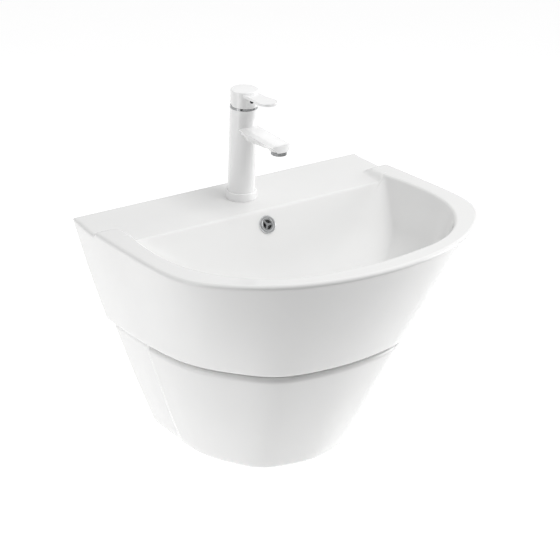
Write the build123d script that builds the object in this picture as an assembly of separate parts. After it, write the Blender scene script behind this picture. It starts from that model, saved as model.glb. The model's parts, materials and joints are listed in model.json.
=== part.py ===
from build123d import *
import os
from math import sin, cos, tan, pi, radians, sqrt, atan2, hypot

# ---------------------------------------------------------------------------
# Wall-hung wash basin with half pedestal, single-lever tap, click waste, trap.
# Frame: origin on the wall plane, midway between the two wall-fixing holes.
# +X along the wall, +Y into the wall, +Z up.  All sizes in millimetres.
# Shapes are drawn with z = 0 on the rim's top plane and moved up at export.
# ---------------------------------------------------------------------------
RIM_ABOVE_FIXINGS = 110.0      # rim top plane above the wall-fixing holes
SKIRT_DEPTH = 183.0            # rim top to the lower edge of the basin
PEDESTAL_GAP = 4.0             # shadow gap, filled by the rubber buffers
PEDESTAL_TOP = -(SKIRT_DEPTH + PEDESTAL_GAP)
PEDESTAL_BOTTOM = -388.0
CERAMIC_WALL = 12.0
SKIRT_FOOT = 21.0              # skirt thickness at its lower edge
VOID_TOP = -24.0               # underside of deck and rim
BOWL_DEPTH = 114.0
BOWL_CENTRE_Y = -235.0
DRAIN_Y = -212.0
DRAIN_R = 22.5
DRAIN_SEAT_R = 33.5
DRAIN_SEAT_DEPTH = 2.0

DECK_BACK_Z = -2.4             # deck level at the wall
DECK_SLOPE = 4.0               # degrees, falling to the front
PANEL_TOP_Y = -116.5           # back edge of the bowl
PANEL_ANGLE = 62.0             # back panel of the bowl, from horizontal
OVERFLOW_Z = -31.5
PANEL_TOP_DROP = 10.5          # deck level at the bowl, below the rim
OVERFLOW_HOLE_R = 11.0

FIXING_SPACING = 280.0         # wall-fixing holes, centre to centre
FIXING_BORE_R = 5.3            # through-bore of the M10 fixing bush
PED_FIX_SPACING = 250.0
PED_FIX_Z = -232.0
PED_FIX_BORE_R = 4.3           # through-bore of the M8 fixing bush

TAP_Y = -57.0                  # tap axis on the deck
TAP_HOLE_R = 17.5
TAP_R = 21.5
FLANGE_R = 24.0
FLANGE_H = 13.0
BODY_TOP = 147.5
RING_TOP = 151.0
CAP_BOTTOM = 151.4
CAP_TOP = 176.4
PIVOT_H = 139.0                # height of the lever's tilting axis
LIFT_MAX = 20.0
LEVER_REACH = 76.0
SPOUT_REACH = 104.0
AERATOR_F = 95.0
PLUG_H = 163.3
SEAT_H = 116.0                 # floor of the cartridge bore

# plan outlines, right half, front centre to back: (x, y)
RIM_OUTER = [(0, -439.9), (73.5, -432.7), (143.6, -408.2), (207.5, -368.5), (257.4, -311.6),
         (273.5, -237.6), (273.7, -166.8), (273.0, -99.6), (270.3, -50.0), (265.5, 0)]
LEDGE = [(0, -344.4), (58.1, -339.3), (113.1, -319.0), (154.5, -277.0), (185.5, -230.0),
         (203.5, -178.9), (211.3, -132.0), (213.8, -95.0), (213.8, -45.0), (212.3, 0)]
PED_BOTTOM = [(0, -246.1), (41.0, -239.7), (77.2, -220.5), (101.0, -186.2), (117.5, -151.8),
         (126.5, -119.9), (130.2, -87.7), (131.0, -56.6), (131.0, -29.0), (130.3, 0)]
RIM_INNER = [(0, -406.3), (65.6, -401.1), (132.0, -386.0), (187.8, -346.7), (225.2, -290.0),
         (240.6, -225.9), (240.1, -163.3), (234.5, -118.0), (225.0, -80.0), (212.0, -30.0)]


def natural_spline(ts, vs):
    n = len(ts)
    a = [0.0] * n
    b = [1.0] * n
    c = [0.0] * n
    d = [0.0] * n
    for i in range(1, n - 1):
        h0, h1 = ts[i] - ts[i - 1], ts[i + 1] - ts[i]
        a[i], b[i], c[i] = h0, 2 * (h0 + h1), h1
        d[i] = 6 * ((vs[i + 1] - vs[i]) / h1 - (vs[i] - vs[i - 1]) / h0)
    for i in range(1, n):
        w = a[i] / b[i - 1]
        b[i] -= w * c[i - 1]
        d[i] -= w * d[i - 1]
    m = [0.0] * n
    m[-1] = d[-1] / b[-1]
    for i in range(n - 2, -1, -1):
        m[i] = (d[i] - c[i] * m[i + 1]) / b[i]

    def f(t):
        i = 0
        while i < n - 2 and t > ts[i + 1]:
            i += 1
        h = ts[i + 1] - ts[i]
        p, q = (ts[i + 1] - t) / h, (t - ts[i]) / h
        return (p * vs[i] + q * vs[i + 1]
                + ((p ** 3 - p) * m[i] + (q ** 3 - q) * m[i + 1]) * h * h / 6)
    return f


def dense(half, n=240):
    """Dense full outline, from the left back corner round the front to the right one."""
    full = [(-x, y) for x, y in reversed(half[1:])] + list(half)
    ts = [0.0]
    for p, q in zip(full, full[1:]):
        ts.append(ts[-1] + hypot(q[0] - p[0], q[1] - p[1]))
    fx, fy = natural_spline(ts, [p[0] for p in full]), natural_spline(ts, [p[1] for p in full])
    return [(fx(ts[-1] * i / n), fy(ts[-1] * i / n)) for i in range(n + 1)]


def inset(line, d, back):
    """Outline moved inward by d and cut off at y = -back."""
    out = []
    n = len(line)
    for i, p in enumerate(line):
        q0, q1 = line[max(0, i - 1)], line[min(n - 1, i + 1)]
        tx, ty = q1[0] - q0[0], q1[1] - q0[1]
        l = hypot(tx, ty)
        out.append((p[0] - ty / l * d, p[1] + tx / l * d))
    keep = [p for p in out if p[1] <= -back]
    i0, i1 = out.index(keep[0]), out.index(keep[-1])

    def cut(p, q):
        u = (-back - p[1]) / (q[1] - p[1])
        return (p[0] + u * (q[0] - p[0]), -back)
    if i0 > 0 and keep[0][1] < -back - 1e-9:
        keep = [cut(out[i0 - 1], out[i0])] + keep
    if i1 < n - 1 and keep[-1][1] < -back - 1e-9:
        keep = keep + [cut(out[i1], out[i1 + 1])]
    return keep


def pick(line, n=26):
    """n + 1 points evenly spaced along a dense line."""
    ls = [0.0]
    for p, q in zip(line, line[1:]):
        ls.append(ls[-1] + hypot(q[0] - p[0], q[1] - p[1]))
    res, j = [], 0
    for i in range(n + 1):
        t = ls[-1] * i / n
        while j < len(ls) - 2 and ls[j + 1] < t:
            j += 1
        u = 0 if ls[j + 1] == ls[j] else (t - ls[j]) / (ls[j + 1] - ls[j])
        res.append((line[j][0] + u * (line[j + 1][0] - line[j][0]),
                    line[j][1] + u * (line[j + 1][1] - line[j][1])))
    return res


def d_face(line, z):
    pts = [Vector(x, y, z) for x, y in pick(line)]
    curve = Edge.make_spline(pts)
    return Face(Wire([curve, Edge.make_line(pts[-1], pts[0])]))


def blend(a, b, t, bulge=0.0):
    """Point-by-point mix of two dense outlines, pushed outward by bulge."""
    mid = [(p[0] + t * (q[0] - p[0]), p[1] + t * (q[1] - p[1])) for p, q in zip(a, b)]
    if bulge:
        moved = []
        for i, p in enumerate(mid):
            q0, q1 = mid[max(0, i - 1)], mid[min(len(mid) - 1, i + 1)]
            tx, ty = q1[0] - q0[0], q1[1] - q0[1]
            l = hypot(tx, ty)
            moved.append((p[0] + ty / l * bulge, min(0.0, p[1] - tx / l * bulge)))
        moved[0] = (moved[0][0], 0.0)
        moved[-1] = (moved[-1][0], 0.0)
        mid = moved
    return mid


rim = dense(RIM_OUTER)
ledge = dense(LEDGE)
foot = dense(PED_BOTTOM)
inner = dense(RIM_INNER, 400)

# ----- bowl contours: polar about the bowl's centre --------------------------
polar = sorted((atan2(x, -(y - BOWL_CENTRE_Y)), hypot(x, y - BOWL_CENTRE_Y)) for x, y in inner)


def rim_radius(a):
    for (a0, r0), (a1, r1) in zip(polar, polar[1:]):
        if a0 <= a <= a1:
            return r0 + (r1 - r0) * (a - a0) / (a1 - a0)
    return polar[-1][1]


def smooth_min(a, b, k):
    h = max(k - abs(a - b), 0.0) / k
    return min(a, b) - h * h * k / 4


def bowl_contour(z, grow=0.0, count=56):
    """Closed contour of the bowl at height z; angle 0 points to the front."""
    d = max(-z, -6.0)
    wall = tan(radians(22)) * d
    start, rf = 66.0, BOWL_DEPTH - 66.0
    if d > start:
        u = min(1.0, (d - start) / rf)
        wall += rf * 0.95 * (1 - sqrt(max(0.0, 1 - u * u)))
    panel_y = PANEL_TOP_Y - (d - PANEL_TOP_DROP) / tan(radians(PANEL_ANGLE))
    if d > start:
        u = min(1.0, (d - start) / rf)
        panel_y -= 0.35 * rf * (1 - sqrt(max(0.0, 1 - u * u)))
    k = 14.0 + 0.62 * max(d, 0.0)
    pts = []
    for i in range(count):
        a = -pi + 2 * pi * i / count
        r = rim_radius(a) * (1 - wall / 235.0)
        c = -cos(a)
        if c > 0.05:
            r = smooth_min(r, (panel_y - BOWL_CENTRE_Y) / c, k)
        r += grow
        pts.append((r * sin(a), BOWL_CENTRE_Y - r * cos(a)))
    return pts


def closed_face(pts, z):
    return Face(Wire([Edge.make_spline([Vector(x, y, z) for x, y in pts], periodic=True)]))


LEVELS = [4.0, -22.0, -55.0, -82.0, -101.0, -112.0, -BOWL_DEPTH]


def bowl_solid(grow=0.0, deepen=0.0, levels=LEVELS, count=36):
    s = (BOWL_DEPTH + deepen) / BOWL_DEPTH
    faces = [closed_face(bowl_contour(z, grow, count), z * s if z < 0 else z) for z in levels]
    return loft(faces)


def cyl(r, z0, z1, x=0.0, y=0.0):
    return Pos(x, y, (z0 + z1) / 2) * Cylinder(r, z1 - z0)


def ring(ro, ri, z0, z1, x=0.0, y=0.0):
    return cyl(ro, z0, z1, x, y) - cyl(ri, z0 - 1, z1 + 1, x, y)


def ycyl(r, y0, y1, x=0.0, z=0.0):
    return Pos(x, (y0 + y1) / 2, z) * Rot(90, 0, 0) * Cylinder(r, abs(y1 - y0))


def xcyl(r, x0, x1, y=0.0, z=0.0):
    return Pos((x0 + x1) / 2, y, z) * Rot(0, 90, 0) * Cylinder(r, abs(x1 - x0))


def box(x0, x1, y0, y1, z0, z1):
    return Pos((x0 + x1) / 2, (y0 + y1) / 2, (z0 + z1) / 2) * Box(x1 - x0, y1 - y0, z1 - z0)


def hexagon(af, z0, z1, x=0.0, y=0.0):
    return Pos(x, y, z0) * extrude(RegularPolygon(af / sqrt(3), 6), z1 - z0)


def deck_z(y):
    return DECK_BACK_Z + tan(radians(DECK_SLOPE)) * y


def try_fillet(shape, edges, r):
    """Round the given edges; keep the sharp shape where rounding is not possible."""
    edges = list(edges)
    if not edges:
        return shape
    try:
        new = fillet(edges, r)
        if new.is_valid and new.volume > 0.8 * shape.volume:
            return new
    except Exception:
        pass
    return shape


PARTS = {}

# ===== ceramic basin ========================================================
outer = loft([d_face(rim, 0), d_face(blend(rim, ledge, 0.30, 2.2), -0.30 * SKIRT_DEPTH),
              d_face(blend(rim, ledge, 0.65, 1.6), -0.65 * SKIRT_DEPTH), d_face(ledge, -SKIRT_DEPTH)])
outer = try_fillet(outer, [e for e in outer.edges() if e.center().Z > -0.5 and e.length > 600], 4.0)
outer = (Pos(0, 0.4, 0) * outer) & box(-400, 400, -600, 0, -300, 20)      # flat back against the wall

# raised rim and lowered, sloping tap deck: the step runs from the outer edge to the bowl's corners
deck_cut = Polyline((0, 0), (-200, -200 * tan(radians(DECK_SLOPE))), (-200, 30), (20, 30),
                    (20, 20 * tan(radians(DECK_SLOPE))), close=True)
deck_profile = Plane.YZ.offset(-300) * make_face(deck_cut)
deck_wedge = Pos(0, 0, DECK_BACK_Z) * extrude(deck_profile, 600)
deck_plan = make_face(Polyline((-300, 20), (-300, -66), (-262, -72), (-224, -119), (-150, -160),
                               (150, -160), (224, -119), (262, -72), (300, -66), (300, 20), close=True))
deck_region = Pos(0, 0, -60) * extrude(deck_plan, 100)
outer = outer - (deck_wedge & deck_region)

void_lines = [(-SKIRT_DEPTH - 2, SKIRT_FOOT), (-150.0, 16.0), (-110.0, CERAMIC_WALL), (VOID_TOP, CERAMIC_WALL)]


def skirt_line(z):
    t = min(1.0, -z / SKIRT_DEPTH)
    return blend(rim, ledge, t, 2.0 * sin(pi * t))


void = loft([d_face(inset(skirt_line(z), d, 14.0), z) for z, d in void_lines])
shell = bowl_solid(CERAMIC_WALL, CERAMIC_WALL, [4.0, -60.0, -95.0, -BOWL_DEPTH], 28)
void = void - shell
# thicker ceramic behind the back panel that carries the overflow passage to the drain
pa = radians(PANEL_ANGLE)


def behind_panel(z, off):
    """Point on the line parallel to the back panel, off behind it."""
    return PANEL_TOP_Y - (-z - PANEL_TOP_DROP) / tan(pa) + off / sin(pa)


duct_poly = Polyline((behind_panel(-22, 4), -22), (behind_panel(-22, 31), -22), (behind_panel(-133, 31), -133),
                     (DRAIN_Y - 40, -133), (DRAIN_Y - 40, -121), (DRAIN_Y + 30, -121), (behind_panel(-80, 4), -80),
                     close=True)
duct = extrude(Plane.YZ.offset(-15) * make_face(duct_poly), 30)
void = void - duct
# seat pad round the drain
void = void - cyl(36, -133, -105, 0, DRAIN_Y)
bowl = bowl_solid()
basin = outer - void - bowl

# overflow hole, square to the back panel
overflow_y = PANEL_TOP_Y - (-OVERFLOW_Z - PANEL_TOP_DROP) / tan(pa)
OV = Pos(0, overflow_y, OVERFLOW_Z) * Rot(PANEL_ANGLE, 0, 0) * Pos(0, 0, -0.6)    # local +Z leaves the panel into the bowl
basin = basin - OV * cyl(OVERFLOW_HOLE_R, -22, 30) - OV * cyl(14.4, 0, 30)
# passage from the overflow hole down behind the panel, then across to the drain
basin = basin - OV * Pos(0, 0, -17.5) * Rot(90, 0, 0) * Pos(0, 0, 49) * Cylinder(6.0, 104)

# drain: seat recess and hole
basin = basin - cyl(DRAIN_SEAT_R, -BOWL_DEPTH - DRAIN_SEAT_DEPTH, -BOWL_DEPTH + 6, 0, DRAIN_Y)
basin = basin - cyl(DRAIN_R, -140, -100, 0, DRAIN_Y)

# tap hole and its spot face under the deck
TAP = Pos(0, TAP_Y, deck_z(TAP_Y)) * Rot(DECK_SLOPE, 0, 0)
basin = basin - TAP * cyl(TAP_HOLE_R, -40, 10)
basin = basin - TAP * cyl(28.0, -40, -12.0)

# wall-fixing holes
ZF = -RIM_ABOVE_FIXINGS
for sx in (-1, 1):
    basin = basin - ycyl(11.0, -20, 5, sx * FIXING_SPACING / 2, ZF)
basin = basin.solids().sort_by(SortBy.VOLUME)[-1]
PARTS["basin_body"] = basin

# ===== half pedestal ========================================================
# nearly flush round the front, set back along the two flat flanks near the wall
ped_top = []
for i, (px, py) in enumerate(ledge):
    q0, q1 = ledge[max(0, i - 1)], ledge[min(len(ledge) - 1, i + 1)]
    tx, ty = q1[0] - q0[0], q1[1] - q0[1]
    d = 3.5 + 7.0 * min(1.0, max(0.0, (py + 122.0) / 28.0))
    ped_top.append((px - ty / hypot(tx, ty) * d, min(0.0, py + tx / hypot(tx, ty) * d)))
ped_top = [(ped_top[0][0], 0.0)] + ped_top[1:-1] + [(ped_top[-1][0], 0.0)]
ped_top_d = pick(ped_top, 240)
PED_H = PEDESTAL_TOP - PEDESTAL_BOTTOM
ped = loft([d_face(ped_top_d, PEDESTAL_TOP),
            d_face(blend(ped_top_d, foot, 0.3, 2.0), PEDESTAL_TOP - 0.3 * PED_H),
            d_face(blend(ped_top_d, foot, 0.7, 1.5), PEDESTAL_TOP - 0.7 * PED_H),
            d_face(foot, PEDESTAL_BOTTOM)])


def ped_line(z):
    t = min(1.0, max(0.0, (PEDESTAL_TOP - z) / PED_H))
    return blend(ped_top_d, foot, t, 1.8 * sin(pi * t))


ped_void = loft([d_face(inset(ped_line(z), 13.0, 14.0), z)
                 for z in (PEDESTAL_TOP + 2, PEDESTAL_TOP - 60, PEDESTAL_TOP - 130, PEDESTAL_BOTTOM + 11)])
ped = (Pos(0, 0.4, 0) * ped) & box(-400, 400, -600, 0, -400, -100)
ped = ped - ped_void - box(-88, 88, -20, 5, PEDESTAL_BOTTOM + 11, PEDESTAL_TOP + 5)
for sx in (-1, 1):
    ped = ped - ycyl(9.0, -20, 5, sx * PED_FIX_SPACING / 2, PED_FIX_Z)
ped = ped.solids().sort_by(SortBy.VOLUME)[-1]
PARTS["half_pedestal"] = ped

# rubber buffers between the two ceramics
buffers = []
buf_line = pick(inset(ledge, 14.0, 30.0), 10)
for i in (0, 2, 4, 6, 8, 10):
    x, y = buf_line[i]
    if i in (0, 10):
        y -= 6
    buffers.append(cyl(3.2, PEDESTAL_TOP, PEDESTAL_TOP + PEDESTAL_GAP, x, y))
PARTS["pedestal_buffers"] = Compound(children=buffers)


# ===== fixings ==============================================================
def fixing_set(prefix, spacing, z, bore, hole_r, wall, head_r, washer_r, nut_af, nut_h):
    bush, wash, nut = [], [], []
    for sx in (-1, 1):
        x = sx * spacing / 2
        b = ycyl(hole_r - 0.3, -wall, 0.0, x, z) + ycyl(head_r, -wall - 4, -wall, x, z)
        bush.append(b - ycyl(bore, -wall - 8, 4, x, z))
        wash.append(ycyl(washer_r, -wall - 6.5, -wall - 4, x, z) - ycyl(bore, -wall - 9, 0, x, z))
        n = Pos(x, -wall - 6.5, z) * Rot(90, 0, 0) * extrude(RegularPolygon(nut_af / sqrt(3), 6), nut_h)
        nut.append(n - ycyl(bore, -wall - 30, 0, x, z))
    PARTS[prefix + "_bushes"] = Compound(children=bush)
    PARTS[prefix + "_washers"] = Compound(children=wash)
    PARTS[prefix + "_nuts"] = Compound(children=nut)


fixing_set("wall_fixing", FIXING_SPACING, ZF, FIXING_BORE_R, 11.0, 14.0, 17.0, 15.0, 17.0, 8.0)
fixing_set("pedestal_fixing", PED_FIX_SPACING, PED_FIX_Z, PED_FIX_BORE_R, 9.0, 14.0, 13.0, 12.0, 13.0, 6.5)

# ===== overflow trim ========================================================
bez = ring(14.2, 9.2, 0.0, 3.4) + ring(10.8, 9.2, -10, 1.0)
bez = try_fillet(bez, [e for e in bez.edges().filter_by(GeomType.CIRCLE)
                       if abs(e.center().Z - 3.4) < 0.1], 1.5)
PARTS["overflow_bezel"] = OV * bez
spider = ring(9.1, 7.4, -1.5, 2.2) + cyl(2.6, -1.5, 2.0)
for a in (90, 210, 330):
    spider += Rot(0, 0, a) * box(-1.4, 1.4, 0.5, 8.2, -1.2, 1.8)
PARTS["overflow_insert"] = OV * (Rot(0, 0, 180) * spider)


# ===== tap (local frame: z up from the deck, front = -y) =====================
def spout_section(f, pts):
    return Face(Wire.make_polygon([Vector(x, -f, z) for x, z in pts], close=True))


root_pts = [(-12.5, 121.5), (12.5, 121.5), (18, 118.0), (6, 98.5), (-6, 98.5), (-18, 118.0)]
mid_pts = [(-12.5, 121.5), (12.5, 121.5), (18, 118.0), (7, 103.0), (-7, 103.0), (-18, 118.0)]
tip_pts = [(-12.0, 121.2), (12.0, 121.2), (17.5, 118.2), (9, 110.8), (-9, 110.8), (-17.5, 118.2)]
spout = loft([spout_section(6, root_pts), spout_section(46, mid_pts)], ruled=True) \
    + loft([spout_section(46, mid_pts), spout_section(SPOUT_REACH, tip_pts)], ruled=True)
tip_trim = cyl(30, 90, 130, 0, -(SPOUT_REACH - 30)) + box(-40, 40, -(SPOUT_REACH - 30), 40, 90, 130)
spout = spout & tip_trim
spout = spout + cyl(13.2, 109.6, 116.5, 0, -AERATOR_F + 3.5) & (tip_trim + cyl(13, 90, 130, 0, -AERATOR_F))
column = cyl(TAP_R, 0.6, BODY_TOP)
tap_body = column + spout + cyl(16.6, -4.0, 1.0)
tap_body = tap_body - cyl(17.7, SEAT_H, BODY_TOP + 5)
tap_body = tap_body - cyl(11.1, 100, 117.6, 0, -AERATOR_F) - cyl(12.2, 90, 109.5, 0, -AERATOR_F)
run = hypot(AERATOR_F, 5.0)
tap_body = tap_body - Pos(0, -AERATOR_F / 2, 111.0) * Rot(90 - 3.0, 0, 0) * Cylinder(3.2, run)
tap_body = tap_body - cyl(4.0, 106, SEAT_H + 1)
INLETS = [(-8.0, -4.0), (8.0, -4.0)]
for x, y in INLETS:
    tap_body = tap_body - cyl(3.0, 10, SEAT_H + 1, x, y) - cyl(4.6, -6, 14, x, y)
STUD = (0.0, 10.5)
tap_body = tap_body - cyl(4.0, -6, 10, *STUD)
tap_body = tap_body.solids().sort_by(SortBy.VOLUME)[-1]
PARTS["tap_body"] = TAP * tap_body

flange = ring(FLANGE_R, TAP_R + 0.05, 0.0, FLANGE_H)
flange = try_fillet(flange, [e for e in flange.edges().filter_by(GeomType.CIRCLE)
                             if abs(e.center().Z - FLANGE_H) < 0.1 and e.radius > 23], 1.6)
PARTS["tap_base_flange"] = TAP * flange
PARTS["tap_base_seal"] = TAP * ring(21.3, 18.2, 0.0, 0.6)
PARTS["tap_fixing_stud"] = TAP * cyl(4.0, -52, 10, *STUD)
shoe = cyl(25.5, -15, -12) - cyl(4.3, -20, 0, *STUD) - box(-14, 14, -30, 4, -20, 0)
PARTS["tap_rubber_horseshoe"] = TAP * shoe
PARTS["tap_metal_horseshoe"] = TAP * (Pos(0, 0, -3) * shoe)
PARTS["tap_fixing_nut"] = TAP * (hexagon(13.0, -26, -18, *STUD) - cyl(4.02, -30, 0, *STUD))

# cartridge, its nut and the chrome dome ring
cart = cyl(17.4, SEAT_H, 140) + cyl(12.0, 139, 145) - cyl(9.5, 127.5, 150)
PARTS["cartridge_body"] = TAP * cart
seals = [ring(3.9, 2.4, SEAT_H - 1.6, SEAT_H, x, y) for x, y in [(-8.0, -4.0), (8.0, -4.0)]]
PARTS["cartridge_nut"] = TAP * ring(17.6, 12.2, 140, 146.8)
dome = ring(21.0, 17.0, BODY_TOP, RING_TOP)
ball = Pos(0, 0, PIVOT_H) * Sphere(21.0) - Pos(0, 0, PIVOT_H) * Sphere(19.4)
dome = dome + (ball & cyl(20, RING_TOP - 2.5, PIVOT_H + 17.2)) - cyl(11.9, 140, 170)
dome = dome + ring(17.6, 15.2, 147.0, BODY_TOP + 1)
dome = dome.solids().sort_by(SortBy.VOLUME)[-1]
PARTS["tap_trim_ring"] = TAP * dome

# turning carrier with its cross pin, and the tilting spindle
carrier = cyl(9.42, 127.7, 143.5) - box(-4.2, 4.2, -20, 20, 129.5, 150) - xcyl(1.5, -12, 12, 0, PIVOT_H)
PARTS["cartridge_carrier"] = TAP * carrier
PARTS["cartridge_pin"] = TAP * xcyl(1.5, -9.2, 9.2, 0, PIVOT_H)
spindle = box(-3.9, 3.9, -3.6, 3.6, 131.5, 166.0) - xcyl(1.55, -12, 12, 0, PIVOT_H)
PARTS["cartridge_spindle"] = TAP * spindle

# lever: hollow cap with a flat paddle
cap = cyl(TAP_R - 0.1, CAP_BOTTOM, CAP_TOP)
plate_top, plate_bot = CAP_TOP, CAP_TOP - 4.0
paddle_pts = [(14.8, -12), (14.2, -26), (14.0, -38), (15.2, -50), (15.6, -58), (13.6, -67), (8.4, -73.6), (0, -LEVER_REACH)]
right = Edge.make_spline([Vector(x, y, 0) for x, y in paddle_pts], tangents=[Vector(-0.1, -1, 0), Vector(-1, 0, 0)])
left = Edge.make_spline([Vector(-x, y, 0) for x, y in reversed(paddle_pts)], tangents=[Vector(-1, 0, 0), Vector(-0.1, 1, 0)])
paddle_face = Face(Wire([right, left, Edge.make_line(Vector(-14.8, -12, 0), Vector(14.8, -12, 0))]))
paddle = Pos(0, 0, plate_bot) * extrude(paddle_face, plate_top - plate_bot)
lever = cap + paddle
lever = try_fillet(lever, [e for e in lever.edges() if abs(e.center().Z - CAP_TOP) < 0.05], 1.6)
lever = lever - cyl(18.0, CAP_BOTTOM - 2, 170.5)
lever = lever + cyl(8.0, 159.6, 171.5)
lever = lever - box(-3.95, 3.95, -3.65, 3.65, 150, 166.1)
# sloped rear edge that lets the cap tip back over the dome
ca = radians(LIFT_MAX + 1.5)
hrel = CAP_BOTTOM - 0.1 - PIVOT_H
z_f = PIVOT_H + (hrel + 60 * sin(ca)) / cos(ca)
z_n = PIVOT_H + (hrel - 60 * sin(ca)) / cos(ca)
cut_face = Plane.YZ.offset(-30) * make_face(Polyline((-60, z_n), (60, z_f), (60, 100), (-60, 100), close=True))
lever = lever - extrude(cut_face, 60)
lever = lever - ycyl(4.0, -30, -15, 0, PLUG_H) - ycyl(2.5, -9, -3, 0, PLUG_H)
lever = lever.solids().sort_by(SortBy.VOLUME)[-1]
PARTS["lever"] = TAP * lever
PARTS["lever_grub_screw"] = TAP * (ycyl(2.5, -8.6, -3.6, 0, PLUG_H) - ycyl(1.2, -10, -6, 0, PLUG_H))
plug_cap = ycyl(4.0, -21.3, -18.2, 0, PLUG_H) & cyl(TAP_R - 0.2, 150, 175)
PARTS["lever_screw_cover"] = TAP * plug_cap

# aerator
aer = ring(12.0, 9.4, 104.0, 109.4, 0, -AERATOR_F) + ring(11.0, 9.4, 104.0, 115.4, 0, -AERATOR_F)
PARTS["aerator_housing"] = TAP * aer
PARTS["aerator_insert"] = TAP * (cyl(9.35, 105.0, 113.5, 0, -AERATOR_F)
                                 - cyl(3.0, 104, 111, 0, -AERATOR_F)
                                 - ring(7.6, 5.0, 104, 109, 0, -AERATOR_F))
PARTS["aerator_washer"] = TAP * ring(10.8, 7.5, 115.4, 117.4, 0, -AERATOR_F)

# ===== click waste ==========================================================
seat_z = -BOWL_DEPTH - DRAIN_SEAT_DEPTH
low_z = -133.0                                   # underside of the drain pad
WB = -196.0                                      # lower end of the waste body


def at_drain(shape):
    return Pos(0, DRAIN_Y, 0) * shape


wb = ring(31.5, 17.0, seat_z + 1.5, seat_z + 4.0) + ring(20.8, 17.0, WB, seat_z + 3.0)
wb = wb - Pos(0, 0, -124.5) * Box(12, 60, 5.0)             # overflow windows
cross = box(-17.5, 17.5, -2, 2, -150, -146) + box(-2, 2, -17.5, 17.5, -150, -146) + cyl(7.0, -150, -146)
cross = cross - cyl(4.5, -155, -140)
PARTS["waste_body"] = at_drain(wb + cross)
PARTS["waste_top_seal"] = at_drain(ring(31.0, 21.0, seat_z, seat_z + 1.5))
PARTS["waste_bottom_seal"] = at_drain(ring(33.0, 20.9, low_z - 4.0, low_z))
PARTS["waste_slip_washer"] = at_drain(ring(33.0, 20.95, low_z - 6.0, low_z - 4.0))
PARTS["waste_back_nut"] = at_drain(hexagon(56.0, low_z - 17, low_z - 6.0) - cyl(20.95, -200, -100))
latch = cyl(4.45, -158, -140) + cyl(6.5, -146, -141) - cyl(2.6, -156, -120)
PARTS["waste_latch"] = at_drain(latch)
stem = cyl(2.5, -153, seat_z + 8)
dome_z = seat_z + 4.0
plug = cyl(29.5, dome_z + 0.4, dome_z + 5.0)
plug = try_fillet(plug, [e for e in plug.edges().filter_by(GeomType.CIRCLE)
                         if abs(e.center().Z - dome_z - 5.0) < 0.1], 3.5)
plug = plug + cyl(15.6, dome_z - 5.0, dome_z + 1.0) + stem
plug = plug - ring(16.0, 14.2, dome_z - 3.6, dome_z - 1.6)
PARTS["waste_plug"] = at_drain(plug)
PARTS["waste_plug_ring"] = at_drain(ring(16.5, 14.25, dome_z - 3.5, dome_z - 1.7))

# ===== bottle trap ==========================================================
TB = -338.0
PARTS["trap_inlet_pipe"] = at_drain(ring(16.0, 14.5, -262, -200) + ring(20.5, 14.5, -200, WB))
PARTS["trap_inlet_nut"] = at_drain(hexagon(50.0, -206, -182) - cyl(20.85, -198, -160) - cyl(16.4, -220, -190)
                                   - cyl(20.6, -200.1, -190))
body = ring(28.0, 24.5, -292, -226) + ring(28.0, 19.0, -229, -226) + ring(19.0, 16.1, -244, -226)
body = body - ycyl(13.6, -8, 40, 0, -256)
body = body + (ycyl(16.0, 20, 52, 0, -256) - ycyl(13.6, 0, 60, 0, -256) - cyl(24.6, -300, -200))
PARTS["trap_body"] = at_drain(body)
PARTS["trap_body_nut"] = at_drain(ring(22.0, 16.1, -226, -214) - ring(17.6, 16.0, -226.5, -223))
PARTS["trap_body_seal"] = at_drain(ring(17.5, 16.1, -226, -223.2))
cup = cyl(30.5, TB, -276) - cyl(28.05, -293, -270) - cyl(25.0, TB + 3, -270)
PARTS["trap_cup"] = at_drain(cup)
PARTS["trap_cup_seal"] = at_drain(ring(28.0, 25.1, -293.0, -292.0))
out_y0, out_y1 = DRAIN_Y + 40, -2.0
PARTS["trap_outlet_pipe"] = ycyl(13.5, out_y0, DRAIN_Y + 54, 0, -256) + ycyl(16.0, DRAIN_Y + 54, out_y1, 0, -256) \
    - ycyl(12.0, out_y0 - 5, 5, 0, -256)
PARTS["trap_outlet_nut"] = ycyl(20.0, DRAIN_Y + 36, DRAIN_Y + 62, 0, -256) \
    - ycyl(16.05, DRAIN_Y + 30, DRAIN_Y + 70, 0, -256)
PARTS["wall_rosette"] = ycyl(30.0, -6, -2, 0, -256) - ycyl(16.1, -10, 2, 0, -256)

os.makedirs("parts", exist_ok=True)
UP = Pos(0, 0, RIM_ABOVE_FIXINGS)
for name, shape in PARTS.items():
    moved = UP * shape
    export_step(moved, os.path.join("parts", name + ".step"))
    bb = moved.bounding_box()
    print("%-22s solids %d vol %.1f cm3  x %.1f..%.1f y %.1f..%.1f z %.1f..%.1f"
          % (name, len(moved.solids()), moved.volume / 1000, bb.min.X, bb.max.X,
             bb.min.Y, bb.max.Y, bb.min.Z, bb.max.Z))
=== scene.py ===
import bpy, bmesh, json, math
import numpy as np
from mathutils import Vector, Matrix


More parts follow.
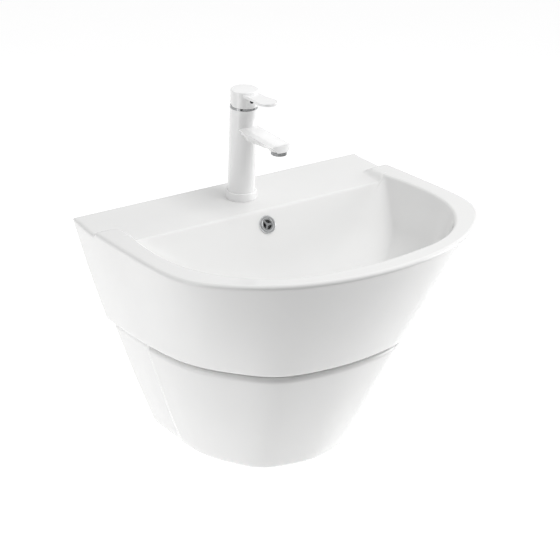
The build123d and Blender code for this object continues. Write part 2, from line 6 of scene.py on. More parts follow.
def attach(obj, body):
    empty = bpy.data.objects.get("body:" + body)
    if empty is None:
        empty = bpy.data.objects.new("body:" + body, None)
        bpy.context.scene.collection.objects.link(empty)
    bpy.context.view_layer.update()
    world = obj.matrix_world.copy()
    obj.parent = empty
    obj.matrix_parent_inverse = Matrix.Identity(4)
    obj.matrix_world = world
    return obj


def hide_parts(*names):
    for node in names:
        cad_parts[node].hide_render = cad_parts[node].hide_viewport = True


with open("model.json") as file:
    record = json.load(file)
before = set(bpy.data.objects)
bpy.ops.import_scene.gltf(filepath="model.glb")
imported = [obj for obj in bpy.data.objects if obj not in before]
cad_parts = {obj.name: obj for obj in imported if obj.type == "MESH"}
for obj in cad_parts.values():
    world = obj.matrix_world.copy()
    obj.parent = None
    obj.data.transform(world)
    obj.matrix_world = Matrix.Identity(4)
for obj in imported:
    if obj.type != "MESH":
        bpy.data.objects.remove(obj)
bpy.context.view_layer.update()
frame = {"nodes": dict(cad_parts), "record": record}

MM = 0.001
UP = 110.0                       # rim plane above the row's origin


# --------------------------------------------------------------------- camera
SC = 1.062
AZ, EL, ROLL = math.radians(-35.023), math.radians(22.579), math.radians(-0.024)
DIST, FPX, SHX, SHZ = 2498.807, 1761.2, -27.2, 10.5
back = np.array([math.sin(AZ) * math.cos(EL), -math.cos(AZ) * math.cos(EL), math.sin(EL)])
right = np.cross(-back, [0, 0, 1.0]); right /= np.linalg.norm(right)
upv = np.cross(right, -back)
rr = right * math.cos(ROLL) + upv * math.sin(ROLL)
uu = -right * math.sin(ROLL) + upv * math.cos(ROLL)
target = (np.array([0, -200.0, -100.0]) + rr * SHX + uu * SHZ) * SC
eye = (target + back * DIST * SC + np.array([0, 0, UP])) * MM
cam_data = bpy.data.cameras.new("camera")
cam_data.sensor_width = 36.0
cam_data.lens = FPX / 560.0 * 36.0
cam_data.clip_start, cam_data.clip_end = 0.05, 60.0
cam = bpy.data.objects.new("camera", cam_data)
bpy.context.scene.collection.objects.link(cam)
m = Matrix.Identity(4)
for i, v in enumerate((rr, uu, back)):
    for k in range(3):
        m[k][i] = float(v[k])
m.translation = Vector(eye.tolist())
cam.matrix_world = m
bpy.context.scene.camera = cam
bpy.context.scene.view_settings.view_transform = "Standard"
bpy.context.scene.view_settings.look = "None"


# ------------------------------------------------------------------ materials
def mat(name, color, rough, metal=0.0, coat=0.0, tint=0.02, scale=60.0, bump=0.02, bump_scale=400.0,
        rough_var=0.03, spec=0.5, stretch=None, ior=1.5, sss=0.0):
    """Procedural finish: noise drives a small change of colour, roughness and relief."""
    mt = bpy.data.materials.new(name)
    mt.use_nodes = True
    nt = mt.node_tree
    N, L = nt.nodes, nt.links
    bsdf = N["Principled BSDF"]
    tc = N.new("ShaderNodeTexCoord")
    mp = N.new("ShaderNodeMapping")
    L.new(tc.outputs["Object"], mp.inputs["Vector"])
    if stretch:
        mp.inputs["Scale"].default_value = stretch
    n1 = N.new("ShaderNodeTexNoise")
    n1.inputs["Scale"].default_value = scale
    n1.inputs["Detail"].default_value = 4.0
    L.new(mp.outputs["Vector"], n1.inputs["Vector"])
    ramp = N.new("ShaderNodeValToRGB")
    c0 = [max(0.0, c * (1 - tint)) for c in color]
    c1 = [min(1.0, c * (1 + tint)) for c in color]
    ramp.color_ramp.elements[0].position = 0.3
    ramp.color_ramp.elements[0].color = (*c0, 1)
    ramp.color_ramp.elements[1].position = 0.7
    ramp.color_ramp.elements[1].color = (*c1, 1)
    L.new(n1.outputs["Fac"], ramp.inputs["Fac"])
    L.new(ramp.outputs["Color"], bsdf.inputs["Base Color"])
    rg = N.new("ShaderNodeMapRange")
    rg.inputs["To Min"].default_value = max(0.0, rough - rough_var)
    rg.inputs["To Max"].default_value = min(1.0, rough + rough_var)
    L.new(n1.outputs["Fac"], rg.inputs["Value"])
    L.new(rg.outputs["Result"], bsdf.inputs["Roughness"])
    n2 = N.new("ShaderNodeTexNoise")
    n2.inputs["Scale"].default_value = bump_scale
    n2.inputs["Detail"].default_value = 3.0
    L.new(mp.outputs["Vector"], n2.inputs["Vector"])
    bp = N.new("ShaderNodeBump")
    bp.inputs["Strength"].default_value = bump
    bp.inputs["Distance"].default_value = 0.0004
    L.new(n2.outputs["Fac"], bp.inputs["Height"])
    L.new(bp.outputs["Normal"], bsdf.inputs["Normal"])
    bsdf.inputs["Metallic"].default_value = metal
    bsdf.inputs["Coat Weight"].default_value = coat
    bsdf.inputs["Coat Roughness"].default_value = 0.04
    bsdf.inputs["Specular IOR Level"].default_value = spec
    bsdf.inputs["IOR"].default_value = ior
    return mt, nt, bsdf, ramp, tc


M = {}
M["glaze"], gnt, gb, gramp, gtc = mat("glaze", (0.83, 0.83, 0.825), 0.10, coat=0.35, tint=0.006, scale=9.0,
                                     bump=0.05, bump_scale=55.0, rough_var=0.03)
M["tap_white"] = mat("tap_white", (0.95, 0.95, 0.95), 0.16, coat=0.5, tint=0.008, scale=40, bump=0.05, bump_scale=700)[0]
M["chrome"] = mat("chrome", (0.80, 0.81, 0.82), 0.07, metal=1.0, tint=0.02, scale=120, bump=0.03, bump_scale=900)[0]
# chrome with painted shade: a darker copy of the chrome colour that stands in for the dark reflections on the trim
# ring and aerator
M["chrome_painted_shade"] = mat("chrome_painted_shade", (0.34, 0.345, 0.35), 0.06, metal=1.0, tint=0.02, scale=120, bump=0.03, bump_scale=900)[0]
M["chrome_satin"] = mat("chrome_satin", (0.62, 0.63, 0.64), 0.18, metal=1.0, tint=0.03, scale=150, bump=0.05, bump_scale=1200)[0]
M["steel"] = mat("steel", (0.56, 0.56, 0.57), 0.30, metal=1.0, tint=0.06, scale=90, bump=0.10, bump_scale=900,
                 stretch=(1, 1, 8))[0]
M["brass"] = mat("brass", (0.72, 0.55, 0.28), 0.28, metal=1.0, tint=0.08, scale=80, bump=0.10, bump_scale=800,
                 stretch=(1, 1, 6))[0]
M["rubber_black"] = mat("rubber_black", (0.028, 0.028, 0.03), 0.70, tint=0.15, scale=200, bump=0.25, bump_scale=1500,
                        rough_var=0.08)[0]
M["nylon_white"] = mat("nylon_white", (0.78, 0.78, 0.75), 0.45, tint=0.03, scale=120, bump=0.12, bump_scale=900)[0]
M["cartridge_plastic"] = mat("cartridge_plastic", (0.62, 0.63, 0.65), 0.42, tint=0.04, scale=120, bump=0.12, bump_scale=900)[0]
M["trap_plastic"] = mat("trap_plastic", (0.80, 0.80, 0.78), 0.26, coat=0.15, tint=0.02, scale=60, bump=0.08, bump_scale=500)[0]
M["cover_black"] = mat("cover_black", (0.015, 0.015, 0.018), 0.18, coat=0.4, tint=0.1, scale=200, bump=0.03, bump_scale=900)[0]

slot_of = {s["node"]: s["material_slot"] for s in frame["record"]["subparts"]}
body_of = {}
for b_name, members in frame["record"]["behaviour"]["bodies"].items():
    for n in members:
        body_of[n] = b_name
for n, o in frame["nodes"].items():
    o.data.materials.clear()
    o.data.materials.append(M[slot_of[n]])


# ------------------------------------------------------------------- outlines
RIM_OUTER = [(0, -439.38), (73.5, -432.35), (145.0, -411.0), (209.7, -371.5), (259.5, -313.3),
             (273.45, -237.6), (273.62, -166.8), (273.0, -99.6), (270.3, -50.0), (265.5, 0)]
LEDGE = [(0, -344.4), (58.1, -339.3), (114.5, -321.5), (157.0, -279.5), (188.0, -232.0),
         (205.5, -179.5), (211.3, -132.0), (213.8, -95.0), (213.8, -45.0), (212.3, 0)]
PED_BOTTOM = [(0, -246.1), (41.0, -239.7), (79.5, -224.0), (105.0, -189.5), (122.0, -154.0),
              (130.3, -120.5), (132.3, -90.0), (133.0, -56.6), (133.0, -29.0), (132.3, 0)]
RIM_INNER = [(0, -406.3), (65.6, -401.1), (132.0, -386.0), (187.8, -346.7), (225.2, -290.0),
             (240.6, -225.9), (240.1, -163.3), (234.5, -118.0), (225.0, -80.0), (212.0, -30.0)]
SKIRT, BOWL_D, YC, DRAIN_Y = 183.0, 114.0, -235.0, -212.0
PANEL_Y, PANEL_DROP, PANEL_A = -116.5, 10.5, math.radians(62.0)
PED_T, PED_B = -188.0, -388.0
DECK0, DECKS = -2.4, math.tan(math.radians(4.0))
TAP_Y = -57.0


def spline(ts, vs):
    n = len(ts)
    h = np.diff(ts)
    A = np.zeros((n, n)); r = np.zeros(n)
    A[0, 0] = A[-1, -1] = 1
    for i in range(1, n - 1):
        A[i, i - 1], A[i, i], A[i, i + 1] = h[i - 1], 2 * (h[i - 1] + h[i]), h[i]
        r[i] = 6 * ((vs[i + 1] - vs[i]) / h[i] - (vs[i] - vs[i - 1]) / h[i - 1])
    mm = np.linalg.solve(A, r)

    def f(t):
        i = np.clip(np.searchsorted(ts, t) - 1, 0, n - 2)
        p, q = (ts[i + 1] - t) / h[i], (t - ts[i]) / h[i]
        return p * vs[i] + q * vs[i + 1] + ((p ** 3 - p) * mm[i] + (q ** 3 - q) * mm[i + 1]) * h[i] ** 2 / 6
    return f


def outline(half, n):
    """n + 1 points spaced evenly from the left back corner round the front to the right one."""
    full = np.array([(-x, y) for x, y in reversed(half[1:])] + list(half), float)
    ts = np.r_[0, np.cumsum(np.hypot(*np.diff(full, axis=0).T))]
    fx, fy = spline(ts, full[:, 0]), spline(ts, full[:, 1])
    t = np.linspace(0, ts[-1], 4001)
    pts = np.c_[fx(t), fy(t)]
    s = np.r_[0, np.cumsum(np.hypot(*np.diff(pts, axis=0).T))]
    want = np.linspace(0, s[-1], n + 1)
    return np.c_[np.interp(want, s, pts[:, 0]), np.interp(want, s, pts[:, 1])]


def normals_in(p):
    d = np.gradient(p, axis=0)
    d /= np.hypot(*d.T)[:, None]
    return np.c_[-d[:, 1], d[:, 0]]


def smooth(e0, e1, x):
    t = np.clip((x - e0) / (e1 - e0), 0, 1)
    return t * t * (3 - 2 * t)


def smax(a, b, k):
    h = np.clip(k - np.abs(a - b), 0, None) / k
    return np.maximum(a, b) + h * h * k / 4


def smin(a, b, k):
    h = np.clip(k - np.abs(a - b), 0, None) / k
    return np.minimum(a, b) - h * h * k / 4


N1 = 420
NB = 170
rim, ledge, foot = outline(RIM_OUTER, N1), outline(LEDGE, N1), outline(PED_BOTTOM, N1)
inner = outline(RIM_INNER, 1200)
ia = np.arctan2(inner[:, 0], -(inner[:, 1] - YC))
ir = np.hypot(inner[:, 0], inner[:, 1] - YC)
order = np.argsort(ia)
ia, ir = ia[order], ir[order]


def rim_r(a):
    return np.interp(a, ia, ir)


def bowl_r(a, d):
    """Radius of the bowl about its centre, at angle a (0 = front) and depth d."""
    dd = np.maximum(d, -6.0)
    rf, start = BOWL_D - 66.0, 66.0
    u = np.clip((dd - start) / rf, 0, 1)
    fil = 1 - np.sqrt(np.clip(1 - u * u, 0, None))
    wall = math.tan(math.radians(22)) * dd + rf * 0.95 * fil
    py = PANEL_Y - (dd - PANEL_DROP) / math.tan(PANEL_A) - 0.35 * rf * fil
    k = 14.0 + 1.0 * np.maximum(dd, 0)
    r = rim_r(a) * (1 - wall / 235.0)
    c = -np.cos(a)
    cc = np.where(c > 0.05, c, 0.05)
    return np.where(c > 0.05, smin(r, (py - YC) / cc, k), r)


def deck_level(y):
    return DECK0 + DECKS * y


def top_z(x, y):
    """Height of the rim and of the lowered tap deck behind the bowl."""
    d = smax(229.0 - np.abs(x), y + 74.0, 14.0)
    w = smooth(-7.0, 7.0, d) * smooth(-150.0, -140.0, y)
    return w * deck_level(np.minimum(y, 0))


# --------------------------------------------------------------- basin (rings)
ub = np.linspace(1, -1, NB + 2)[1:-1]                 # along the wall, right to left


def skin(z):
    """Outer skin at height z (a number or one per column): the curved part, then the flat back."""
    z = np.broadcast_to(z, (N1 + 1 + NB,)).astype(float)
    t = np.clip(-z / SKIRT, 0, 1)
    tf = t[:N1 + 1, None]
    p = rim + tf * (ledge - rim)
    n = normals_in(p)
    p = p - n * (2.0 * np.sin(math.pi * tf))
    p[:, 1] = np.minimum(p[:, 1] + 0.4, 0.0)
    tb = t[N1 + 1:]
    xb = ub * (RIM_OUTER[-1][0] + tb * (LEDGE[-1][0] - RIM_OUTER[-1][0]))
    return np.r_[p, np.c_[xb, np.zeros(NB)]]


base = skin(0.0)
nrm = np.r_[normals_in(base[:N1 + 1]), np.tile([0.0, -1.0], (NB, 1))]
for i, sx in ((0, 1.0), (N1, -1.0)):
    nrm[i] = (sx, -1.0)                               # both back corners: inset on both sides
ang = np.arctan2(base[:, 0], -(base[:, 1] - YC))
TOTAL = N1 + 1 + NB
R_edge = np.full(TOTAL, 4.8)
R_edge[N1 + 1:] = 1.6
R_edge[0] = R_edge[N1] = 2.2
for i in range(1, 5):
    R_edge[i] = R_edge[N1 - i] = 2.2 + i * 0.35

ring_list = []


def add(xy, z):
    ring_list.append(np.c_[xy, np.broadcast_to(z, (TOTAL,))])


# foot: outer lower edge, rounded, then up the skin
RF = 4.5
for ph in np.linspace(0, math.pi / 2, 5):
    z = -SKIRT + RF * (1 - math.sin(ph))
    xy = skin(z) + nrm * (RF * (1 - math.cos(ph)) * np.where(np.arange(TOTAL) > N1, 0.3, 1.0))[:, None]
    ring_list.append(np.c_[xy, np.full(TOTAL, z)])
ring_list.reverse()                                    # from the flat underside outward and up
edge_in = base + nrm * R_edge[:, None]
z_edge = top_z(edge_in[:, 0], edge_in[:, 1])
lowest = z_edge - R_edge
for s in np.linspace(0, 1, 34)[1:]:
    z = (-SKIRT + RF) * (1 - s) + lowest * s
    add(skin(z), z)
sk_top = skin(lowest)
for ph in np.linspace(0, math.pi / 2, 8)[1:]:
    off = R_edge * (1 - math.cos(ph))
    xy = sk_top + nrm * off[:, None]
    z = lowest + R_edge * math.sin(ph)
    add(xy, z)
P_out = ring_list[-1][:, :2].copy()
# bowl's upper edge
RB = 3.4
d0 = np.full(TOTAL, 5.0)
for _ in range(6):
    re = bowl_r(ang, d0)
    ex, ey = re * np.sin(ang), YC - re * np.cos(ang)
    d0 = -top_z(ex, ey)


def polar_xy(r):
    return np.c_[r * np.sin(ang), YC - r * np.cos(ang)]


P_in = polar_xy(bowl_r(ang, d0) + RB)
steps = np.linspace(0, 1, 44)[1:]
steps = np.r_[steps[:-1], 1.0]
for s in steps:
    xy = P_out * (1 - s) + P_in * s
    z = top_z(xy[:, 0], xy[:, 1])
    add(xy, z)
for ph in np.linspace(0, math.pi / 2, 8)[1:]:
    drop = RB * (1 - math.cos(ph))
    r = bowl_r(ang, d0 + drop) + RB * (1 - math.sin(ph))
    xy = polar_xy(r)
    z = top_z(xy[:, 0], xy[:, 1]) - drop
    add(xy, z)
z_start = ring_list[-1][:, 2]
tau = np.r_[np.linspace(0, 0.5, 16)[1:], 0.5 + 0.5 * np.sin(np.linspace(0, math.pi / 2, 22))[1:]]
for t in tau:
    z = z_start * (1 - t) - BOWL_D * t
    add(polar_xy(bowl_r(ang, -z)), z)
# floor to the drain's seat
fl = ring_list[-1][:, :2]


def drain_xy(r):
    return np.c_[r * np.sin(ang), DRAIN_Y - r * np.cos(ang)]


seat = drain_xy(34.6)
for s in np.linspace(0, 1, 12)[1:]:
    add(fl * (1 - s) + seat * s, -BOWL_D)
for r, z in ((34.0, -114.15), (33.6, -114.6), (33.5, -116.0), (23.0, -116.0), (22.6, -116.2), (22.5, -116.7),
             (22.5, -124.0), (22.5, -133.0), (36.0, -133.0), (36.6, -132.4), (37.0, -127.0)):
    add(drain_xy(r), z)
# underside of the bowl, thicker behind the overflow
k_s = (BOWL_D + 12.0) / BOWL_D
prev = ring_list[-1][:, :2]
for s in (0.35, 0.7):
    add(prev * (1 - s) + polar_xy(bowl_r(ang, np.full(TOTAL, BOWL_D - 3)) + 6.0) * s, -BOWL_D - 12)
for D in (111.0, 106.0, 99.0, 90.0, 78.0, 64.0, 50.0, 36.0, 24.0 / k_s):
    r = bowl_r(ang, np.full(TOTAL, D))
    xy = polar_xy(r)
    hump = smooth(19.0, 12.0, np.abs(xy[:, 0])) * (np.cos(ang) < 0)
    add(polar_xy(r + 12.0 + 20.0 * hump * min(1.0, (112 - D) / 12.0)), -D * k_s)


def inner_skin(z):
    th = np.interp(-z, [24, 110, 150, 185], [12, 12, 16, 21])
    p = skin(np.full(TOTAL, z)) + nrm * th
    p[:, 1] = np.minimum(p[:, 1], -14.0)
    xm = (RIM_OUTER[-1][0] + (-z / SKIRT) * (LEDGE[-1][0] - RIM_OUTER[-1][0])) - th
    p[:, 0] = np.clip(p[:, 0], -xm - 8, xm + 8)
    return p


a_in = ring_list[-1][:, :2]
b_in = inner_skin(-24.0)
for s in (0.25, 0.5, 0.75, 0.97):
    add(a_in * (1 - s) + b_in * s, -24.0)
for z in (-25.5, -40, -60, -80, -100, -115, -130, -145, -160, -172, -181.5):
    add(inner_skin(float(z)), float(z))
b_f = inner_skin(-183.0)
for s in (0.06, 0.5):
    add(b_f * (1 - s) + ring_list[0][:, :2] * s, -183.0)


def build(name, verts, faces, slot, body, nodes, smooth_angle=38.0):
    me = bpy.data.meshes.new(name)
    me.from_pydata([tuple(v) for v in verts], [], faces)
    bm = bmesh.new()
    bm.from_mesh(me)
    bmesh.ops.remove_doubles(bm, verts=bm.verts, dist=1e-6)
    bmesh.ops.dissolve_degenerate(bm, dist=1e-7, edges=bm.edges)
    bmesh.ops.recalc_face_normals(bm, faces=bm.faces)
    bm.to_mesh(me)
    bm.free()
    me.polygons.foreach_set("use_smooth", [True] * len(me.polygons))
    me.set_sharp_from_angle(angle=math.radians(smooth_angle))
    ob = bpy.data.objects.new(name, me)
    bpy.context.scene.collection.objects.link(ob)
    me.materials.append(M[slot])
    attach(ob, body)
    if nodes:
        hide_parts(*nodes)
    return ob


def torus_faces(m_, n_):
    i, j = np.meshgrid(np.arange(m_), np.arange(n_), indexing="ij")
    i2, j2 = (i + 1) % m_, (j + 1) % n_
    q = np.stack([i * n_ + j, i * n_ + j2, i2 * n_ + j2, i2 * n_ + j], -1).reshape(-1, 4)
    return q.tolist()


R = np.array(ring_list)
R[:, :, 2] += UP
basin = build("basin_ceramic", (R.reshape(-1, 3) * MM), torus_faces(R.shape[0], R.shape[1]), "glaze", "basin", ["basin_body"])


# holes: overflow with its passage, tap hole, wall fixings
def cyl_mesh(bm, r, p0, p1, seg=64):
    p0, p1 = Vector(p0), Vector(p1)
    ax = (p1 - p0)
    rot = ax.to_track_quat("Z", "Y").to_matrix().to_4x4()
    bmesh.ops.create_cone(bm, cap_ends=True, segments=seg, radius1=r, radius2=r, depth=ax.length,
                          matrix=Matrix.Translation((p0 + p1) / 2) @ rot)


OV_Z = -31.5
ov_y = PANEL_Y - (-OV_Z - PANEL_DROP) / math.tan(PANEL_A)
ov_n = np.array([0, -math.sin(PANEL_A), math.cos(PANEL_A)])       # leaves the panel into the bowl
ov_p = np.array([0, ov_y, OV_Z])


def W(p):
    return [float(p[0]) * MM, float(p[1]) * MM, (float(p[2]) + UP) * MM]


bm = bmesh.new()
cyl_mesh(bm, 11.0 * MM, W(ov_p + ov_n * 20), W(ov_p - ov_n * 24))
down = np.array([0, -math.cos(PANEL_A), -math.sin(PANEL_A)])
tap_up = np.array([0, -math.sin(math.radians(4)), math.cos(math.radians(4))])
tap_o = np.array([0, TAP_Y, deck_level(TAP_Y)])
cut_me = bpy.data.meshes.new("cut")
bm.to_mesh(cut_me); bm.free()
cuts = [cut_me]
bm = bmesh.new()
cyl_mesh(bm, 17.5 * MM, W(tap_o + tap_up * 10), W(tap_o - tap_up * 40))
for sx in (-1, 1):
    cyl_mesh(bm, 11.0 * MM, W((sx * 140, 5, -110)), W((sx * 140, -30, -110)))
c2 = bpy.data.meshes.new("cut2")
bm.to_mesh(c2); bm.free()
cuts.append(c2)
bm = bmesh.new()
q0 = ov_p - ov_n * 18.0
cyl_mesh(bm, 6.0 * MM, W(q0 + down * -2), W(q0 + down * 96), 40)
c3 = bpy.data.meshes.new("cut3")
bm.to_mesh(c3); bm.free()
cuts.append(c3)
for c in cuts:
    tmp = bpy.data.objects.new("cutter", c)
    bpy.context.scene.collection.objects.link(tmp)
    md = basin.modifiers.new("hole", "BOOLEAN")
    md.operation, md.solver, md.object = "DIFFERENCE", "EXACT", tmp
    dg = bpy.context.evaluated_depsgraph_get()
    new = bpy.data.meshes.new_from_object(basin.evaluated_get(dg))
    basin.modifiers.clear()
    old = basin.data
    if len(new.polygons) > 0.5 * len(old.polygons):
        basin.data = new
    bpy.data.objects.remove(tmp)
basin.data.polygons.foreach_set("use_smooth", [True] * len(basin.data.polygons))
basin.data.set_sharp_from_angle(angle=math.radians(38))

# ------------------------------------------------------------- half pedestal
ped_top = ledge + normals_in(ledge) * 3.5
ped_top[:, 1] = np.minimum(ped_top[:, 1], 0)
ped_top[0, 1] = ped_top[-1, 1] = 0.0
PH = PED_T - PED_B


def ped_outer(z):
    t = min(1.0, max(0.0, (PED_T - z) / PH))
    p = ped_top + t * (foot - ped_top)
    n = normals_in(p)
    p = p - n * 1.8 * math.sin(math.pi * t)
    n = normals_in(p)
    yc = -107.0 + 27.0 * t                                 # the flank near the wall is set back
    p = p + n * ((7.0 - 5.0 * t) * smooth(yc - 6.0, yc + 6.0, p[:, 1]))[:, None]
    p[:, 1] = np.minimum(p[:, 1] + 0.4, 0.0)
    p[0, 1] = p[-1, 1] = 0.0
    return p, n


def ped_loop(z, off):
    p, n = ped_outer(z)
    q = p + n * off
    q[:, 1] = np.minimum(q[:, 1], 0.0)
    i_ = p + n * 13.0
    xm = abs(p[0, 0]) - 13.0
    i_[:, 1] = np.minimum(i_[:, 1], -14.0)
    i_[:, 0] = np.clip(i_[:, 0], -xm - 6, xm + 6)
    i_ = i_[::-1]
    e = [(x, 0.0) for x in np.linspace(q[-1, 0], 88, 12)[1:]]
    f = [(88.0, -7.0), (88.0, -14.0)] + [(x, -14.0) for x in np.linspace(88, i_[0, 0], 12)[1:-1]]
    g = [(x, -14.0) for x in np.linspace(i_[-1, 0], -88, 12)[1:]]
    h = [(-88.0, -7.0), (-88.0, 0.0)] + [(x, 0.0) for x in np.linspace(-88, q[0, 0], 12)[1:-1]]
    return np.r_[q, e, f, i_, g, h]


loops, RS, RBT = [], 10.0, 9.0
for ph in np.linspace(0, math.pi / 2, 8):
    loops.append((PED_T - RS * (1 - math.sin(math.pi / 2 - ph)), RS * (1 - math.cos(math.pi / 2 - ph))))
for z in np.linspace(PED_T - RS, PED_B + RBT, 30)[1:]:
    loops.append((z, 0.0))
for ph in np.linspace(0, math.pi / 2, 7)[1:]:
    loops.append((PED_B + RBT * (1 - math.sin(ph)), RBT * (1 - math.cos(ph))))
rings = [np.c_[ped_loop(z, off), np.full(len(ped_loop(z, off)), z)] for z, off in loops]
PR = np.array(rings)
nn = PR.shape[1]
faces = []
for i in range(PR.shape[0] - 1):
    for j in range(nn):
        j2 = (j + 1) % nn
        faces.append([i * nn + j, i * nn + j2, (i + 1) * nn + j2, (i + 1) * nn + j])
faces.append(list(range(nn)))
faces.append(list(range((PR.shape[0] - 1) * nn, PR.shape[0] * nn)))
pv = PR.reshape(-1, 3)
# bottom plate
p, n = ped_outer(PED_B + 6)
pl = p + n * 9.0
pl = pl[pl[:, 1] < -7.0]
plate = np.r_[pl, [(pl[-1, 0], -6.0), (87.9, -6.0), (87.9, -0.3), (-87.9, -0.3), (-87.9, -6.0), (pl[0, 0], -6.0)]]
k0 = len(pv)
np_ = len(plate)
pv = np.r_[pv, np.c_[plate, np.full(np_, PED_B + 0.1)], np.c_[plate, np.full(np_, PED_B + 11.0)]]
for j in range(np_):
    j2 = (j + 1) % np_
    faces.append([k0 + j, k0 + j2, k0 + np_ + j2, k0 + np_ + j])
faces.append(list(range(k0, k0 + np_)))
faces.append(list(range(k0 + np_, k0 + 2 * np_)))
pv = pv.copy()
pv[:, 2] += UP
ped = build("pedestal_ceramic", pv * MM, faces, "glaze", "basin", ["half_pedestal"])


# ------------------------------------------------ finer copies of CAD pieces
def dress(node, width, seg=3, angle=32.0, name=None, reshape=None, extra=None, look=None):
    src = frame["nodes"][node]
    me = src.data.copy()
    bm = bmesh.new()
    bm.from_mesh(me)
    bmesh.ops.remove_doubles(bm, verts=bm.verts, dist=2e-6)
    bmesh.ops.dissolve_limit(bm, angle_limit=math.radians(0.6), verts=bm.verts, edges=bm.edges)
    bmesh.ops.recalc_face_normals(bm, faces=bm.faces)
    if reshape:
        for v in bm.verts:
            v.co = reshape(v.co)
    if extra:
        extra(bm)
    bm.to_mesh(me)
    bm.free()
    ob = bpy.data.objects.new((name or node) + "_fine", me)
    bpy.context.scene.collection.objects.link(ob)
    me.materials.clear()
    me.materials.append(M[look or slot_of[node]])
    me.polygons.foreach_set("use_smooth", [True] * len(me.polygons))
    me.set_sharp_from_angle(angle=math.radians(angle))
    if width > 0:
        md = ob.modifiers.new("soft_edges", "BEVEL")
        md.limit_method = "ANGLE"
        md.angle_limit = math.radians(angle)
        md.width = width * MM
        md.segments = seg
        md.use_clamp_overlap = True
        md.harden_normals = True
    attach(ob, body_of[node])
    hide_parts(node)
    return ob


TAPM = Matrix.Translation(Vector(W(tap_o))) @ Matrix.Rotation(math.radians(4), 4, "X")
TAPI = TAPM.inverted()


def waist(co):
    """Paddle with a narrower neck, rising gently from the cap to its round end."""
    q = TAPI @ co
    f_, h_ = -q.y / MM, q.z / MM
    if f_ > 14 and h_ > 165:
        k = smooth(14.0, 30.0, f_) * (1 - smooth(40.0, 60.0, f_))
        q.x *= 1 - 0.12 * float(k)
    up = float(smooth(158.0, 169.0, h_)) * math.tan(math.radians(3.3)) * max(0.0, f_ - 6.0)
    q.z += up * MM
    return TAPM @ q


def spout_nose(bm):
    """Front wall of the spout, closed in front of the aerator's thread."""
    SR, AF = 104.0, 95.0
    xs = np.linspace(-17.4, 17.4, 41)
    grid = []
    for x in xs:
        ax = abs(x)
        top = 121.2 - 3.0 * max(0.0, (ax - 12.0) / 5.5)
        bot = 109.75 if ax <= 9.4 else 109.75 + (118.1 - 109.75) * (ax - 9.4) / 8.0
        face = SR - 30 + math.sqrt(900 - x * x)
        f_in = max(face - 0.4, AF + math.sqrt(max(0.0, 11.12 ** 2 - x * x)) if ax < 11.12 else 0.0)
        f_out = max(f_in + 0.5, AF + 12.1 - 30 + math.sqrt(900 - x * x))
        grid.append([bm.verts.new(TAPM @ (Vector((x, -f, h)) * MM))
                     for f, h in ((f_in, bot), (f_out, bot), (f_out, top), (f_in, top))])
    for g0, g1 in zip(grid[:-1], grid[1:]):
        for i in range(4):
            j = (i + 1) % 4
            bm.faces.new((g0[i], g0[j], g1[j], g1[i]))
    bm.faces.new(grid[0][::-1])
    bm.faces.new(grid[-1])
    bmesh.ops.recalc_face_normals(bm, faces=bm.faces)


dress("lever", 0.6, reshape=waist)
dress("tap_body", 0.7, extra=spout_nose)
# trim ring and aerator housing use the chrome with painted shade, darkened to stand in for their dark reflections
dress("tap_trim_ring", 0.3, look="chrome_painted_shade")
dress("aerator_housing", 0.4, look="chrome_painted_shade")
for node, w in (("tap_base_flange", 0.4),
                ("lever_screw_cover", 0.4), ("overflow_bezel", 0.3),
                ("overflow_insert", 0.3), ("waste_body", 0.4), ("waste_plug", 0.3), ("trap_inlet_nut", 0.6),
                ("trap_body", 0.5), ("trap_body_nut", 0.5), ("trap_cup", 0.8), ("trap_outlet_nut", 0.6),
                ("trap_outlet_pipe", 0.3), ("wall_rosette", 0.6), ("waste_back_nut", 0.5), ("tap_fixing_nut", 0.3),
                ("wall_fixing_nuts", 0.4), ("pedestal_fixing_nuts", 0.3), ("wall_fixing_washers", 0.3),
                ("pedestal_fixing_washers", 0.3)):
    dress(node, w)

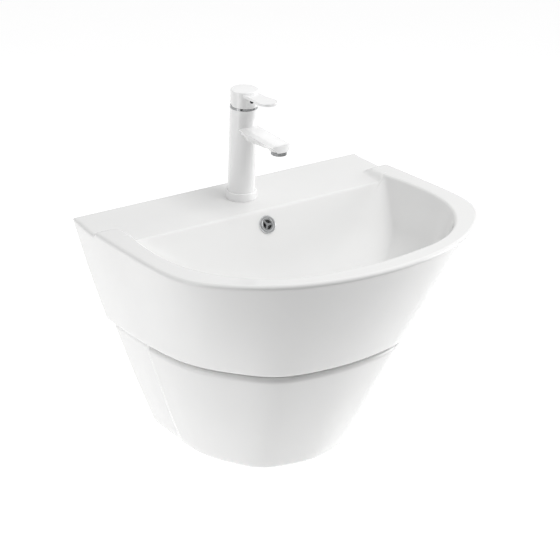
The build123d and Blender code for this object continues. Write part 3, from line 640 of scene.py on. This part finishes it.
# ------------------------------------------------------------ floor and light
FLOOR_Z = -0.74
fm, fnt, fb, framp, ftc = mat("floor_white", (0.93, 0.93, 0.93), 0.75, tint=0.004, scale=3.0, bump=0.0, spec=0.1)
fb.inputs["Emission Color"].default_value = (1, 1, 1, 1)
fb.inputs["Emission Strength"].default_value = 0.365
bpy.ops.mesh.primitive_grid_add(x_subdivisions=20, y_subdivisions=20, size=16.0, location=(0, 7.1, FLOOR_Z))
floor = bpy.context.active_object
floor.name = "floor"
floor.data.materials.append(fm)

world = bpy.data.worlds.new("studio")
bpy.context.scene.world = world
world.use_nodes = True
wn, wl = world.node_tree.nodes, world.node_tree.links
wn.clear()
out = wn.new("ShaderNodeOutputWorld")
bg = wn.new("ShaderNodeBackground")
tc = wn.new("ShaderNodeTexCoord")
dot = wn.new("ShaderNodeVectorMath"); dot.operation = "DOT_PRODUCT"
axis = Vector((-0.16, -0.95, -0.22)).normalized()      # the open, darker side of the room
dot.inputs[1].default_value = axis
wl.new(tc.outputs["Generated"], dot.inputs[0])
rg = wn.new("ShaderNodeMapRange")
rg.interpolation_type = "SMOOTHSTEP"
rg.inputs["From Min"].default_value = 0.10
rg.inputs["From Max"].default_value = 0.95
rg.inputs["To Min"].default_value = 0.86
rg.inputs["To Max"].default_value = 0.145
wl.new(dot.outputs["Value"], rg.inputs["Value"])
wl.new(rg.outputs["Result"], bg.inputs["Strength"])
wl.new(bg.outputs["Background"], out.inputs["Surface"])


def area(name, loc, aim, sx, sy, power):
    ld = bpy.data.lights.new(name, "AREA")
    ld.shape = "RECTANGLE"
    ld.size, ld.size_y = sx, sy
    ld.energy = power
    ob = bpy.data.objects.new(name, ld)
    bpy.context.scene.collection.objects.link(ob)
    ob.location = loc
    ob.rotation_euler = (Vector(aim) - Vector(loc)).to_track_quat("-Z", "Y").to_euler()
    return ob


top = area("front_top", (0.8, -1.9, 2.4), (0, -0.2, 0.0), 1.9, 1.5, 48.0)
top.visible_glossy = False
area("left_low", (-2.7, -0.4, -0.1), (0, -0.2, 0.0), 1.4, 1.6, 9.3)
area("right_low", (2.5, -1.5, 0.1), (0, -0.2, 0.0), 1.2, 1.6, 20.0)
high = area("right_high", (2.4, -0.1, 0.6), (0, -0.06, 0.18), 0.9, 0.9, 12.0)
high.visible_glossy = False
